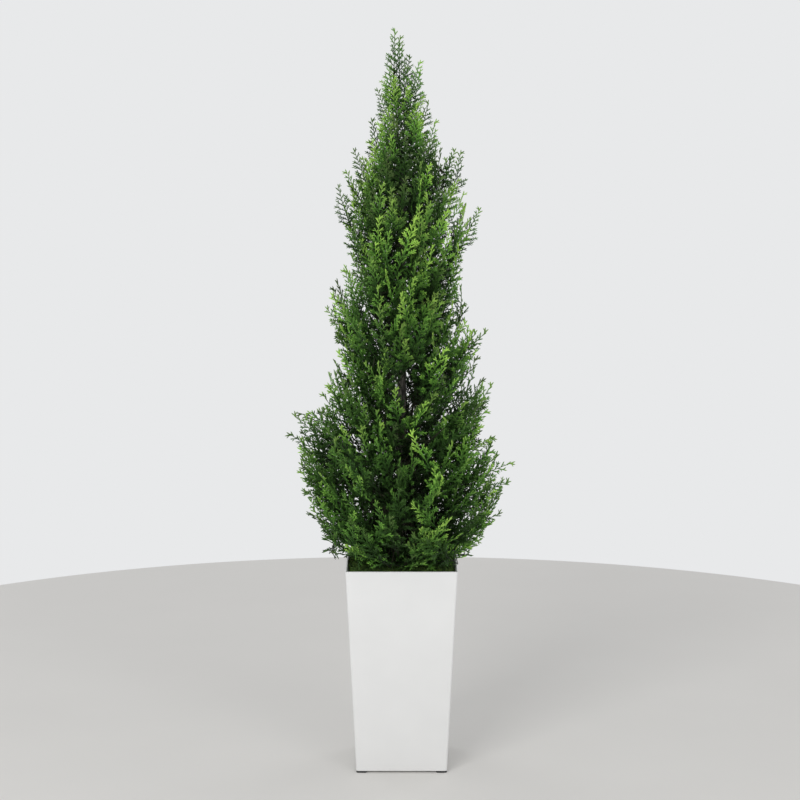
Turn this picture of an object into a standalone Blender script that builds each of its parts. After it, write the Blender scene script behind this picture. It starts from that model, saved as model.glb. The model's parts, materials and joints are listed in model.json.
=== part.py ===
"""Artificial mini cedar standing in a tall square planter.

Metres, +Z up. The origin is the centre of the planter's base, on the floor. The front faces -Y.
Boughs are numbered from the lowest up. Each one turns about its own knuckle on the trunk.
"""
import math
from collections import namedtuple

import bmesh
import bpy
from mathutils import Matrix, Vector

# --- whole object ---
OVERALL_HEIGHT = 1.372
FIT_GAP = 0.0003          # between pieces that touch
LOOSE_GAP = 0.0010        # round pieces that are dropped in by hand

# --- planter: a square tapered tower ---
PLANTER_HEIGHT = 0.386
PLANTER_TOP_WIDTH = 0.207
PLANTER_BASE_WIDTH = 0.170
PLANTER_WALL = 0.004
PLANTER_FLOOR = 0.005
PLANTER_EDGE_RADIUS = 0.005
FOOT_SIDE = 0.020
FOOT_HEIGHT = 0.003
FOOT_INSET = 0.0006

# --- what stands inside the planter ---
POT_HEIGHT = 0.150
POT_TOP_RADIUS = 0.080
POT_BASE_RADIUS = 0.066
POT_WALL = 0.0022
BALLAST_BELOW_POT_RIM = 0.002
MOSS_BELOW_RIM = 0.012
MOSS_THICKNESS = 0.018
MOSS_CROWN = 0.006        # rise of the moss towards the trunk
MOSS_FLAT = 0.35          # where its crown levels off, from the wall to the trunk

# --- trunk ---
CORE_RADIUS = 0.0020
CORE_IN_BALLAST = 0.110
TRUNK_BASE_RADIUS = 0.0095
TRUNK_TOP_RADIUS = 0.0066
TRUNK_SOLID_TOP = 0.020   # bark sleeve above the rod's end
TRUNK_SIDES = 12

# --- boughs ---
BOUGHS_IN_TIER = 3
TIER_TURN = math.radians(60)
LOWEST_ROOT_ABOVE_RIM = 0.040
HIGHEST_ROOT_BELOW_TRUNK_TOP = 0.030
Tier = namedtuple("Tier", "reach rise half_depth")
TIERS = (
    Tier(0.190, 0.120, 0.037),
    Tier(0.190, 0.110, 0.036),
    Tier(0.150, 0.150, 0.033),
    Tier(0.140, 0.170, 0.029),
    Tier(0.130, 0.175, 0.027),
    Tier(0.118, 0.155, 0.025),
    Tier(0.088, 0.125, 0.022),
)
BOUGH_TURN_UP = math.radians(26)        # how much a bough steepens from root to tip
BOUGH_SECTOR = math.radians(23)         # half of the angle that one bough's foliage takes round the trunk
# along the bough: place, share of the sector's width, share of the depth
FOLIAGE_OUTLINE = (
    (0.16, 0.80, 0.34),
    (0.34, 1.00, 0.72),
    (0.58, 1.00, 1.00),
    (0.80, 0.94, 0.96),
    (0.94, 0.66, 0.66),
    (1.00, 0.34, 0.30),
)
FOLIAGE_SIDES = 8

# --- stems: wrapped wire with a ball knuckle in a dimple of the bark ---
STEM_RADIUS = 0.0016
STEM_SIDES = 6
STEM_STATIONS = (0.12, 0.30, 0.50, 0.72)
KNUCKLE_RADIUS = 0.0032
KNUCKLE_CLEARANCE = 0.0005
KNUCKLE_LATITUDES = tuple(math.radians(angle) for angle in (-70, -30, 0, 30, 60))

# --- leader: the top of the tree ---
LEADER_LEAN = 0.015
LEADER_LENGTH = 0.250
LEADER_TURN = math.radians(8)
LEADER_HALF_WIDTH = 0.038
LEADER_OUTLINE = ((0.14, 0.28), (0.32, 0.66), (0.50, 1.00), (0.70, 0.86), (0.88, 0.50), (1.00, 0.16))

CORNER_POINTS = 4         # points on each rounded corner of the planter's rings
Bough = namedtuple("Bough", "number tier azimuth root_height")


# ---------------------------------------------------------------- places that follow from the sizes

RIM_HEIGHT = FOOT_HEIGHT + PLANTER_HEIGHT
FLOOR_TOP = FOOT_HEIGHT + PLANTER_FLOOR
MOSS_TOP = RIM_HEIGHT - MOSS_BELOW_RIM
MOSS_BOTTOM = MOSS_TOP - MOSS_THICKNESS
POT_TOP = MOSS_BOTTOM - FIT_GAP
POT_BOTTOM = POT_TOP - POT_HEIGHT
BALLAST_TOP = POT_TOP - BALLAST_BELOW_POT_RIM
BALLAST_BOTTOM = POT_BOTTOM + POT_WALL + FIT_GAP
RISER_TOP = POT_BOTTOM - FIT_GAP      # the riser is cut to bring the pot up under the moss
RISER_BOTTOM = FLOOR_TOP + FIT_GAP
TRUNK_BOTTOM = BALLAST_TOP + FIT_GAP
TRUNK_TOP = OVERALL_HEIGHT - LEADER_LENGTH
CORE_TOP = TRUNK_TOP - TRUNK_SOLID_TOP
KNUCKLE_DIMPLE = KNUCKLE_RADIUS + KNUCKLE_CLEARANCE


def between(start, end, share):
    return start + (end - start) * share


def planter_half_width(height):
    """Outside half width of the planter at a height above the floor."""
    share = (height - FOOT_HEIGHT) / PLANTER_HEIGHT
    return between(PLANTER_BASE_WIDTH, PLANTER_TOP_WIDTH, share) / 2


def inside_half_width(height):
    return planter_half_width(height) - PLANTER_WALL


def pot_radius(height):
    """Outside radius of the nursery pot at a height above the floor."""
    share = (height - POT_BOTTOM) / POT_HEIGHT
    return between(POT_BASE_RADIUS, POT_TOP_RADIUS, share)


def trunk_radius(height):
    share = (height - TRUNK_BOTTOM) / (TRUNK_TOP - TRUNK_BOTTOM)
    return between(TRUNK_BASE_RADIUS, TRUNK_TOP_RADIUS, share)


def boughs():
    """The boughs climb the trunk in a screw line, three to a tier, each tier turned past the last."""
    count = BOUGHS_IN_TIER * len(TIERS)
    lowest = RIM_HEIGHT + LOWEST_ROOT_ABOVE_RIM
    highest = TRUNK_TOP - HIGHEST_ROOT_BELOW_TRUNK_TOP
    for index in range(count):
        tier, place = divmod(index, BOUGHS_IN_TIER)
        azimuth = 2 * math.pi * place / BOUGHS_IN_TIER + TIER_TURN * tier
        yield Bough(index + 1, tier, azimuth, between(lowest, highest, index / (count - 1)))


# ---------------------------------------------------------------- rings, lofts and cuts

def square_ring(half_width, radius, height):
    """Points of a square with rounded corners, anticlockwise."""
    points = []
    for corner in range(4):
        quarter = corner * math.pi / 2
        middle = quarter + math.pi / 4
        reach = (half_width - radius) * math.sqrt(2)
        centre = Vector((reach * math.cos(middle), reach * math.sin(middle), height))
        for step in range(CORNER_POINTS):
            angle = quarter + step / (CORNER_POINTS - 1) * math.pi / 2
            points.append(centre + Vector((radius * math.cos(angle), radius * math.sin(angle), 0)))
    return points


def round_ring(radius, height, count=4 * CORNER_POINTS):
    """Points of a circle, in step with those of a square ring."""
    step = 2 * math.pi / count
    first = math.pi / 4 - (count / 4 - 1) / 2 * step
    angles = [first + step * index for index in range(count)]
    return [Vector((radius * math.cos(angle), radius * math.sin(angle), height)) for angle in angles]


def cross_ring(centre, heading, half_width, half_depth, count):
    """An ellipse across a line that climbs at the angle heading in the XZ plane."""
    up = Vector((-math.sin(heading), 0, math.cos(heading)))
    side = Vector((0, 1, 0))
    angles = [2 * math.pi * index / count for index in range(count)]
    return [centre + side * half_width * math.cos(a) + up * half_depth * math.sin(a) for a in angles]


def loft(name, rings, closed=False):
    """A mesh skinned over rings with the same number of points, capped unless it closes on itself."""
    bm = bmesh.new()
    loops = [[bm.verts.new(point) for point in ring] for ring in rings]
    following = loops[1:] + (loops[:1] if closed else [])
    for lower, upper in zip(loops, following):
        for index in range(len(lower)):
            after = (index + 1) % len(lower)
            bm.faces.new((lower[index], lower[after], upper[after], upper[index]))
    if not closed:
        bm.faces.new(loops[0])
        bm.faces.new(loops[-1])
    bmesh.ops.recalc_face_normals(bm, faces=bm.faces)
    mesh = bpy.data.meshes.new(name)
    bm.to_mesh(mesh)
    bm.free()
    return mesh


def cut(name, body, cutter):
    """The body's mesh less the cutter's, as one new mesh."""
    body_object = bpy.data.objects.new(name + "_uncut", body)
    cutter_object = bpy.data.objects.new(name + "_cutter", cutter)
    for item in (body_object, cutter_object):
        bpy.context.scene.collection.objects.link(item)
    boolean = body_object.modifiers.new("cut", "BOOLEAN")
    boolean.operation = "DIFFERENCE"
    boolean.solver = "EXACT"
    boolean.object = cutter_object
    bpy.context.view_layer.update()
    evaluated = body_object.evaluated_get(bpy.context.evaluated_depsgraph_get())
    result = bpy.data.meshes.new_from_object(evaluated)
    result.name = name
    for item in (body_object, cutter_object):
        bpy.data.objects.remove(item)
    return result


# ---------------------------------------------------------------- materials and placing

def material(name, colour, roughness, metallic=0.0):
    finish = bpy.data.materials.new(name)
    finish.use_nodes = True
    shader = finish.node_tree.nodes["Principled BSDF"]
    shader.inputs["Base Color"].default_value = (*colour, 1)
    shader.inputs["Roughness"].default_value = roughness
    shader.inputs["Metallic"].default_value = metallic
    finish.diffuse_color = (*colour, 1)
    return finish


def place(name, mesh, finish, parent, location=(0, 0, 0), azimuth=0.0, smooth=False):
    item = bpy.data.objects.new(name, mesh)
    item.parent = parent
    item.location = location
    item.rotation_euler = (0, 0, azimuth)
    bpy.context.scene.collection.objects.link(item)
    if not mesh.materials:
        mesh.materials.append(finish)
    if smooth:
        mesh.shade_smooth()
        mesh.set_sharp_from_angle(angle=math.radians(40))
    return item


def empty(name, parent=None):
    item = bpy.data.objects.new(name, None)
    item.parent = parent
    bpy.context.scene.collection.objects.link(item)
    return item


# ---------------------------------------------------------------- planter

def make_planter(frame):
    inner_radius = PLANTER_EDGE_RADIUS - PLANTER_WALL / 2
    rings = [
        square_ring(planter_half_width(FOOT_HEIGHT), PLANTER_EDGE_RADIUS, FOOT_HEIGHT),
        square_ring(planter_half_width(RIM_HEIGHT), PLANTER_EDGE_RADIUS, RIM_HEIGHT),
        square_ring(inside_half_width(RIM_HEIGHT), inner_radius, RIM_HEIGHT),
        square_ring(inside_half_width(FLOOR_TOP), inner_radius, FLOOR_TOP),
    ]
    white = material("white_moulded_plastic", (0.78, 0.78, 0.76), 0.28)
    place("planter_shell", loft("planter_shell", rings), white, frame)


def make_feet(frame):
    """Four square pads, flush with the base's edges."""
    half = FOOT_SIDE / 2
    centre = PLANTER_BASE_WIDTH / 2 - FOOT_INSET - half
    rings = [
        square_ring(half, PLANTER_EDGE_RADIUS, 0),
        square_ring(half, PLANTER_EDGE_RADIUS, FOOT_HEIGHT - FIT_GAP),
    ]
    pad = loft("planter_foot", rings)
    rubber = material("black_rubber", (0.015, 0.015, 0.015), 0.8)
    for depth, y in (("front", -centre), ("back", centre)):
        for side, x in (("left", -centre), ("right", centre)):
            place(f"planter_foot_{depth}_{side}", pad, rubber, frame, (x, y, 0))


def make_foam(frame):
    """The block under the pot, and the packing round it."""
    foam = material("white_foam", (0.85, 0.85, 0.82), 0.9)
    riser = [
        square_ring(inside_half_width(height) - LOOSE_GAP, PLANTER_WALL, height)
        for height in (RISER_BOTTOM, RISER_TOP)
    ]
    place("foam_riser", loft("foam_riser", riser), foam, frame)
    outside = [
        square_ring(inside_half_width(height) - LOOSE_GAP, PLANTER_WALL, height)
        for height in (POT_BOTTOM, POT_TOP)
    ]
    inside = [round_ring(pot_radius(height) + LOOSE_GAP, height) for height in (POT_TOP, POT_BOTTOM)]
    place("foam_collar", loft("foam_collar", outside + inside, closed=True), foam, frame)


# ---------------------------------------------------------------- pot, ballast and moss

def make_pot(frame):
    rings = [
        round_ring(pot_radius(POT_BOTTOM), POT_BOTTOM),
        round_ring(pot_radius(POT_TOP), POT_TOP),
        round_ring(pot_radius(POT_TOP) - POT_WALL, POT_TOP),
        round_ring(pot_radius(POT_BOTTOM) - POT_WALL, POT_BOTTOM + POT_WALL),
    ]
    black = material("black_pot_plastic", (0.02, 0.02, 0.02), 0.6)
    place("nursery_pot", loft("nursery_pot", rings), black, frame)


def make_ballast(frame):
    """Cement in the pot, with the hole that the trunk's rod stands in."""
    lift = POT_WALL + 2 * FIT_GAP
    hole = CORE_RADIUS + FIT_GAP
    rings = [
        round_ring(pot_radius(POT_BOTTOM) - lift, BALLAST_BOTTOM),
        round_ring(pot_radius(BALLAST_TOP) - lift, BALLAST_TOP),
        round_ring(hole, BALLAST_TOP),
        round_ring(hole, BALLAST_TOP - CORE_IN_BALLAST - FIT_GAP),
    ]
    cement = material("cast_cement", (0.45, 0.44, 0.42), 0.95)
    place("ballast", loft("ballast", rings), cement, frame)


def make_moss(frame):
    """A mat that fills the planter's mouth and rises a little to the trunk."""
    hole = trunk_radius(MOSS_BOTTOM) + LOOSE_GAP
    shoulder = between(inside_half_width(MOSS_TOP), hole, MOSS_FLAT)
    rings = [
        square_ring(inside_half_width(MOSS_BOTTOM) - LOOSE_GAP, PLANTER_WALL, MOSS_BOTTOM),
        square_ring(inside_half_width(MOSS_TOP) - LOOSE_GAP, PLANTER_WALL, MOSS_TOP),
        round_ring(shoulder, MOSS_TOP + MOSS_CROWN),
        round_ring(hole, MOSS_TOP + MOSS_CROWN),
        round_ring(hole, MOSS_BOTTOM),
    ]
    moss = material("dyed_moss", (0.02, 0.035, 0.01), 0.95)
    place("moss_mat", loft("moss_mat", rings, closed=True), moss, frame)


# ---------------------------------------------------------------- trunk

def trunk_dimples():
    """One mesh of small balls, where the boughs' and the leader's knuckles sit."""
    bm = bmesh.new()
    roots = [root_place(bough) for bough in boughs()]
    for spot in [*roots, Vector((0, 0, TRUNK_TOP))]:
        matrix = Matrix.Translation(spot)
        bmesh.ops.create_icosphere(bm, subdivisions=2, radius=KNUCKLE_DIMPLE, matrix=matrix)
    mesh = bpy.data.meshes.new("trunk_dimples")
    bm.to_mesh(mesh)
    bm.free()
    return mesh


def make_trunk(frame):
    core = [
        round_ring(CORE_RADIUS, height, TRUNK_SIDES)
        for height in (BALLAST_TOP - CORE_IN_BALLAST, CORE_TOP)
    ]
    steel = material("steel_rod", (0.5, 0.5, 0.5), 0.35, 1.0)
    place("trunk_core", loft("trunk_core", core), steel, frame)
    hole = CORE_RADIUS + FIT_GAP
    sleeve = [
        round_ring(hole, CORE_TOP + FIT_GAP, TRUNK_SIDES),
        round_ring(hole, TRUNK_BOTTOM, TRUNK_SIDES),
        round_ring(TRUNK_BASE_RADIUS, TRUNK_BOTTOM, TRUNK_SIDES),
        round_ring(TRUNK_TOP_RADIUS, TRUNK_TOP, TRUNK_SIDES),
    ]
    bark = material("bark_plastic", (0.12, 0.10, 0.08), 0.85)
    mesh = cut("trunk_bark", loft("trunk_sleeve", sleeve), trunk_dimples())
    place("trunk_bark", mesh, bark, frame)


# ---------------------------------------------------------------- boughs

def root_place(bough):
    """The knuckle's centre, on the trunk's surface."""
    radius = trunk_radius(bough.root_height)
    return Vector((radius * math.cos(bough.azimuth), radius * math.sin(bough.azimuth), bough.root_height))


def bough_line(reach, rise, turn, share):
    """Point and climbing angle at a share of an arc from the root to (reach, rise)."""
    chord_angle = math.atan2(rise, reach)
    radius = math.hypot(reach, rise) / (2 * math.sin(turn / 2))
    start = chord_angle - turn / 2
    heading = start + turn * share
    x = radius * (math.sin(heading) - math.sin(start))
    z = radius * (math.cos(start) - math.cos(heading))
    return Vector((x, 0, z)), heading


def line_rings(shape, stations, radius):
    """Round rings of one radius along a bough's line."""
    rings = []
    for share in stations:
        centre, heading = bough_line(*shape, share)
        rings.append(cross_ring(centre, heading, radius, radius, STEM_SIDES))
    return rings


def stem_mesh(name, shape):
    """A ball knuckle that runs out into the wrapped wire."""
    heading = bough_line(*shape, 0)[1]
    along = Vector((math.cos(heading), 0, math.sin(heading)))
    rings = []
    for latitude in KNUCKLE_LATITUDES:
        centre = along * KNUCKLE_RADIUS * math.sin(latitude)
        radius = KNUCKLE_RADIUS * math.cos(latitude)
        rings.append(cross_ring(centre, heading, radius, radius, STEM_SIDES))
    return loft(name, rings + line_rings(shape, STEM_STATIONS, STEM_RADIUS))


def stem_bore(name, shape):
    """What the stem needs inside the foliage: its own line with a gap all round."""
    length = math.hypot(shape[0], shape[1])
    deepest = STEM_STATIONS[-1] + FIT_GAP / length
    stations = (*STEM_STATIONS[:-1], deepest)
    return loft(name, line_rings(shape, stations, STEM_RADIUS + FIT_GAP))


def bough_foliage_mesh(name, shape, half_depth):
    """A fan of foliage that stays inside its own sector round the trunk."""
    rings = []
    for share, width_share, depth_share in FOLIAGE_OUTLINE:
        centre, heading = bough_line(*shape, share)
        half_width = centre.x * math.tan(BOUGH_SECTOR) * width_share
        rings.append(cross_ring(centre, heading, half_width, half_depth * depth_share, FOLIAGE_SIDES))
    return cut(name, loft(name + "_solid", rings), stem_bore(name + "_bore", shape))


def make_boughs(frame, finishes):
    wrap, foliage = finishes
    stems = []
    fans = []
    for number, tier in enumerate(TIERS, 1):
        shape = (tier.reach, tier.rise, BOUGH_TURN_UP)
        stems.append(stem_mesh(f"stem_tier_{number}", shape))
        fans.append(bough_foliage_mesh(f"foliage_tier_{number}", shape, tier.half_depth))
    for bough in boughs():
        name = f"bough_{bough.number:02d}"
        root = root_place(bough)
        place(name + "_stem", stems[bough.tier], wrap, frame, root, bough.azimuth)
        place(name + "_foliage", fans[bough.tier], foliage, frame, root, bough.azimuth)


def make_leader(frame, finishes):
    """The upright top, leaning a little to -X, on its own knuckle at the trunk's end."""
    wrap, foliage = finishes
    shape = (LEADER_LEAN, LEADER_LENGTH, LEADER_TURN)
    rings = []
    for share, width_share in LEADER_OUTLINE:
        centre, heading = bough_line(*shape, share)
        half_width = LEADER_HALF_WIDTH * width_share
        rings.append(cross_ring(centre, heading, half_width, half_width, FOLIAGE_SIDES))
    solid = loft("leader_solid", rings)
    spindle = cut("leader_foliage", solid, stem_bore("leader_bore", shape))
    top = (0, 0, TRUNK_TOP)
    place("leader_stem", stem_mesh("leader_stem", shape), wrap, frame, top, math.pi)
    place("leader_foliage", spindle, foliage, frame, top, math.pi)


# ---------------------------------------------------------------- the whole object

def main():
    for item in list(bpy.data.objects):
        bpy.data.objects.remove(item)
    planter = empty("planter")
    tree = empty("tree", planter)
    make_planter(planter)
    make_feet(planter)
    make_foam(planter)
    make_pot(tree)
    make_ballast(tree)
    make_moss(tree)
    make_trunk(tree)
    wrap = material("stem_wrap", (0.07, 0.09, 0.04), 0.7)
    foliage = material("moulded_foliage", (0.07, 0.19, 0.03), 0.55)
    make_boughs(tree, (wrap, foliage))
    make_leader(tree, (wrap, foliage))


main()
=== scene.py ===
"""Artificial mini cedar in a tall square planter: the looks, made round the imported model.

Laid out as an add-on and run as a script. Metres, +Z up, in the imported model's frame.
"""

import json
import math
import random

import bmesh
import bpy
import numpy as np
from bpy.props import FloatProperty, FloatVectorProperty, IntProperty, PointerProperty
from mathutils import Matrix, Vector, noise


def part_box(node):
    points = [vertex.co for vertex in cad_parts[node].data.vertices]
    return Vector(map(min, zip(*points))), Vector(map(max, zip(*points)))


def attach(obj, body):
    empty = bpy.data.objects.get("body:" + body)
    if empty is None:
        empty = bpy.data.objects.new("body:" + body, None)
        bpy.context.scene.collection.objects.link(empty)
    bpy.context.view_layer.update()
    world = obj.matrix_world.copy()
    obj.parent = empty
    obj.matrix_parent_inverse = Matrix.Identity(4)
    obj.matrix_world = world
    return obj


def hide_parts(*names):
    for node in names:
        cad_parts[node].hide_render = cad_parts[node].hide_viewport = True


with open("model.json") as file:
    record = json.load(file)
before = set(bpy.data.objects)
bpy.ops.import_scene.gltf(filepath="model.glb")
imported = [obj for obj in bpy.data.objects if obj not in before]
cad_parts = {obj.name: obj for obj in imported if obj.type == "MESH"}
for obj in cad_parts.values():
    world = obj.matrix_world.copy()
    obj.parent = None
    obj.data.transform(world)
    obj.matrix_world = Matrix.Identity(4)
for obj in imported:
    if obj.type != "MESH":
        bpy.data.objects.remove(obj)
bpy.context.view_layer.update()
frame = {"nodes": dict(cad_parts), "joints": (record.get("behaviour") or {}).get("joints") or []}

bl_info = {
    "name": "Artificial Mini Cedar",
    "version": (1, 0, 0),
    "blender": (4, 5, 0),
    "location": "View3D > Sidebar > Cedar",
    "description": "Builds an artificial cedar: planter, moss, trunk, wired boughs and sprays",
    "category": "Object",
}

MM = 0.001
UP = Vector((0, 0, 1))
BLACK = (0, 0, 0)
# successive sprays or fibres turned by this never stand in rows
GOLDEN_TURN = math.radians(137.508)
# edges that turn more than this stay crisp on moulded pieces
CRISP = math.radians(35)
PLANTER_LOW, PLANTER_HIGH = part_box("planter_shell")
MOSS_LOW, MOSS_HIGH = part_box("moss_mat")
BARK_LOW, BARK_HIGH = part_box("trunk_bark")
RIM = PLANTER_HIGH.z
TREE_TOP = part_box("leader_foliage")[1].z


def linear(hex_colour):
    """An sRGB hex colour as linear red, green and blue."""
    channels = [int(hex_colour[i:i + 2], 16) / 255 for i in (1, 3, 5)]
    return tuple(c / 12.92 if c <= 0.04045 else ((c + 0.055) / 1.055) ** 2.4 for c in channels)


def between(start, end, share):
    """The value at a share of the way from start to end."""
    return start + (end - start) * share


def between_colours(first, second, share):
    """The colour at a share of the way from the first to the second."""
    return tuple(between(a, b, share) for a, b in zip(first, second))


def is_upright(edge, height):
    """Whether an edge climbs more than half of a height."""
    return abs(edge.verts[0].co.z - edge.verts[1].co.z) > height / 2


# ---------------------------------------------------------------- settings

def colour(name, description, hex_colour):
    """A colour setting."""
    return FloatVectorProperty(
        name=name, description=description, subtype="COLOR", size=3, min=0, max=1,
        default=linear(hex_colour),
    )


def length(name, description, metres):
    """A size setting."""
    return FloatProperty(name=name, description=description, unit="LENGTH", min=0, default=metres)


class CedarSprays(bpy.types.PropertyGroup):
    """Sizes and colours of the moulded sprays."""
    outer: IntProperty(name="Outer sprays", description="Their tips make the outline", default=440)
    middle: IntProperty(name="Middle sprays", description="Behind the outer ones", default=270)
    inner: IntProperty(name="Inner sprays", description="Near the trunk", default=130)
    spray_length: length("Spray length", "From the wire to the spray's tip", 122 * MM)
    spray_width: length("Spray half width", "Longest side twig", 27 * MM)
    side_spacing: length("Side spacing", "From one side twig to the next", 6.0 * MM)
    leaflet_length: length("Leaflet length", "One scaly leaflet", 8.8 * MM)
    leaflet_width: length("Leaflet width", "Across one scaly leaflet", 2.9 * MM)
    leaflet_thickness: length("Leaflet thickness", "Through one scaly leaflet", 2.1 * MM)
    tip: colour("Tips", "Painted yellow-green tips", "#B4E262")
    young: colour("Young growth", "Fresh green behind the tips", "#76AE44")
    old: colour("Old growth", "Olive green of unpainted sprays", "#50633A")
    mature: colour("Mature growth", "Mid green of the sprays", "#3B6326")
    # the darkest green: partly the sprays' own dark green near the wire, partly painted shade, made
    # near black for the shadow far inside the crown
    deep_and_shade: colour("Deep growth", "Dark green near the wire", "#0A1404")


class CedarWood(bpy.types.PropertyGroup):
    """Sizes and colours of the trunk and wires."""
    wire_radius: length("Wire radius", "Wrapped wire where a bough starts", 1.8 * MM)
    twig_radius: length("Side wire radius", "Wrapped wire of one spray", 0.75 * MM)
    wrap: colour("Wrapping", "Paper tape round the wires", "#3E4030")
    bark: colour("Bark", "Moulded bark", "#77736B")
    bark_dark: colour("Bark furrows", "Dark wash in the bark", "#2C2A27")


class CedarPlanter(bpy.types.PropertyGroup):
    """Finish of the planter."""
    wall: colour("Planter", "White moulded plastic", "#DCDCDB")
    corner: length("Corner radius", "Rounding of the four upright edges", 4.5 * MM)
    rim: length("Rim radius", "Rounding of the rim's edges", 1.8 * MM)
    wall_thickness: length("Wall", "Thickness of the planter's wall", 4.0 * MM)


class CedarMoss(bpy.types.PropertyGroup):
    """Moss in the planter's mouth."""
    tufts: IntProperty(name="Tufts", description="Small tufts on the moss", default=2300)
    dark: colour("Dark moss", "Shaded fibres", "#233A18")
    light: colour("Light moss", "Lit fibres", "#567A2E")
    straw: colour("Straw", "Dry fibres among the moss", "#9A7C3C")


class CedarStage(bpy.types.PropertyGroup):
    """Floor, lights and camera."""
    floor: colour("Floor", "Pale round floor", "#DAD8D4")
    camera_height: length("Camera height", "Above the floor", 1.505)
    camera_distance: length("Camera distance", "From the trunk", 4.796)
    camera_side: length("Camera side step", "To the left of the trunk", 0.003)
    camera_pitch: FloatProperty(
        name="Camera pitch", description="Below the horizon", subtype="ANGLE",
        default=math.radians(9.63),
    )
    focal_length: FloatProperty(
        name="Focal length", description="Of the camera, in millimetres", default=118.1,
    )
    floor_radius: length("Floor radius", "Round floor under the planter", 1.7)


SETTINGS = {
    "cedar_sprays": CedarSprays, "cedar_wood": CedarWood, "cedar_planter": CedarPlanter,
    "cedar_moss": CedarMoss, "cedar_stage": CedarStage,
}


# ---------------------------------------------------------------- meshes

def as_piece(name, mesh, materials, body, replaced=()):
    """Links a finished mesh as a piece that rides on a body."""
    piece = bpy.data.objects.new(name, mesh)
    bpy.context.scene.collection.objects.link(piece)
    for finish in materials:
        mesh.materials.append(finish)
    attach(piece, body)
    if replaced:
        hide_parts(*replaced)


def to_mesh(bm, name, smooth=True, sharp=None):
    """Turns a bmesh into a mesh, shaded smooth up to the sharp angle."""
    mesh = bpy.data.meshes.new(name)
    bm.to_mesh(mesh)
    bm.free()
    if smooth:
        mesh.shade_smooth()
    if sharp:
        mesh.set_sharp_from_angle(angle=sharp)
    return mesh


def add_mesh(bm, mesh, matrix):
    """Adds a moved copy of a mesh to a bmesh."""
    moved = mesh.copy()
    moved.transform(matrix)
    bm.from_mesh(moved)
    bpy.data.meshes.remove(moved)


def facing(direction, roll_towards):
    """Turns +X to a direction, with +Y in the plane of roll_towards."""
    x = direction.normalized()
    y = (roll_towards - x * roll_towards.dot(x)).normalized()
    z = x.cross(y)
    return Matrix((x, y, z)).transposed().to_4x4()


def tube(bm, points, radii, sides):
    """A closed tube through points."""
    rings = []
    for index, point in enumerate(points):
        before = points[max(index - 1, 0)]
        after = points[min(index + 1, len(points) - 1)]
        turn = (after - before).to_track_quat("Z", "X").to_matrix().to_4x4()
        size = Matrix.Diagonal((radii[index], radii[index], 1, 1))
        matrix = Matrix.Translation(point) @ turn @ size
        last = index in (0, len(points) - 1)
        made = bmesh.ops.create_circle(bm, cap_ends=last, segments=sides, radius=1, matrix=matrix)
        rings.append(made["verts"])
    for lower, upper in zip(rings, rings[1:]):
        edges = {edge for ring in (lower, upper) for vert in ring for edge in vert.link_edges
                 if edge.other_vert(vert) in ring}
        bmesh.ops.bridge_loops(bm, edges=list(edges))


# ---------------------------------------------------------------- materials

def add_node(tree, kind, inputs=None, links=None, **settings):
    """Adds a node with its settings, its input values and its links."""
    node = tree.nodes.new(kind)
    for key, value in settings.items():
        setattr(node, key, value)
    for key, value in (inputs or {}).items():
        node.inputs[key].default_value = value
    for key, output in (links or {}).items():
        tree.links.new(output, node.inputs[key])
    return node


def new_material(name, **values):
    """A material with its Principled shader, whose fixed values are set here."""
    finish = bpy.data.materials.new(name)
    finish.use_nodes = True
    shader = finish.node_tree.nodes["Principled BSDF"]
    for key, value in values.items():
        shader.inputs[key.replace("_", " ")].default_value = value
    return finish, finish.node_tree, shader


def ramp(tree, factor, stops):
    """The colour that a factor has on a ramp of stops."""
    node = add_node(tree, "ShaderNodeValToRGB", links={"Fac": factor})
    elements = node.color_ramp.elements
    while len(elements) < len(stops):
        elements.new(0.5)
    for element, (position, rgb) in zip(elements, stops):
        element.position = position
        element.color = (*rgb, 1)
    return node.outputs["Color"]


def bump(tree, shader, height, strength, distance):
    """Relief on a shader from a height pattern."""
    node = add_node(
        tree, "ShaderNodeBump", {"Strength": strength, "Distance": distance}, {"Height": height},
    )
    tree.links.new(node.outputs["Normal"], shader.inputs["Normal"])


def noise_of(tree, size, detail=3.0, roughness=0.5):
    """Noise whose cells are about this size in metres."""
    place = add_node(tree, "ShaderNodeTexCoord")
    return add_node(
        tree, "ShaderNodeTexNoise", {"Scale": 1 / size, "Detail": detail, "Roughness": roughness},
        {"Vector": place.outputs["Object"]},
    ).outputs["Fac"]


def spray_plastic(settings):
    """Moulded polyethylene, green in the mass and tip-painted: waxy, with soft highlights."""
    finish, tree, shader = new_material("moulded_polyethylene_sprays", Roughness=0.45, IOR=1.51)
    shader.inputs["Specular IOR Level"].default_value = 0.2
    place = add_node(tree, "ShaderNodeUVMap", uv_map="OFBake")
    split = add_node(tree, "ShaderNodeSeparateXYZ", links={"Vector": place.outputs["UV"]})
    growth, age = split.outputs["X"], split.outputs["Y"]
    # the dark ends of both ramps are partly the sprays' own dark green and partly painted shade
    # near the wire
    half_grown_and_shade = between_colours(settings.deep_and_shade, settings.mature, 0.5)
    plain = ramp(tree, growth, [(0.0, settings.deep_and_shade), (0.5, half_grown_and_shade), (1.0, settings.old)])
    painted = ramp(tree, growth, [
        (0.05, settings.deep_and_shade), (0.4, settings.mature), (0.7, settings.young), (1.0, settings.tip),
    ])
    mix = add_node(
        tree, "ShaderNodeMix", links={"Factor": age, "A": plain, "B": painted}, data_type="RGBA",
    )
    tree.links.new(mix.outputs["Result"], shader.inputs["Base Color"])
    return finish


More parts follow.
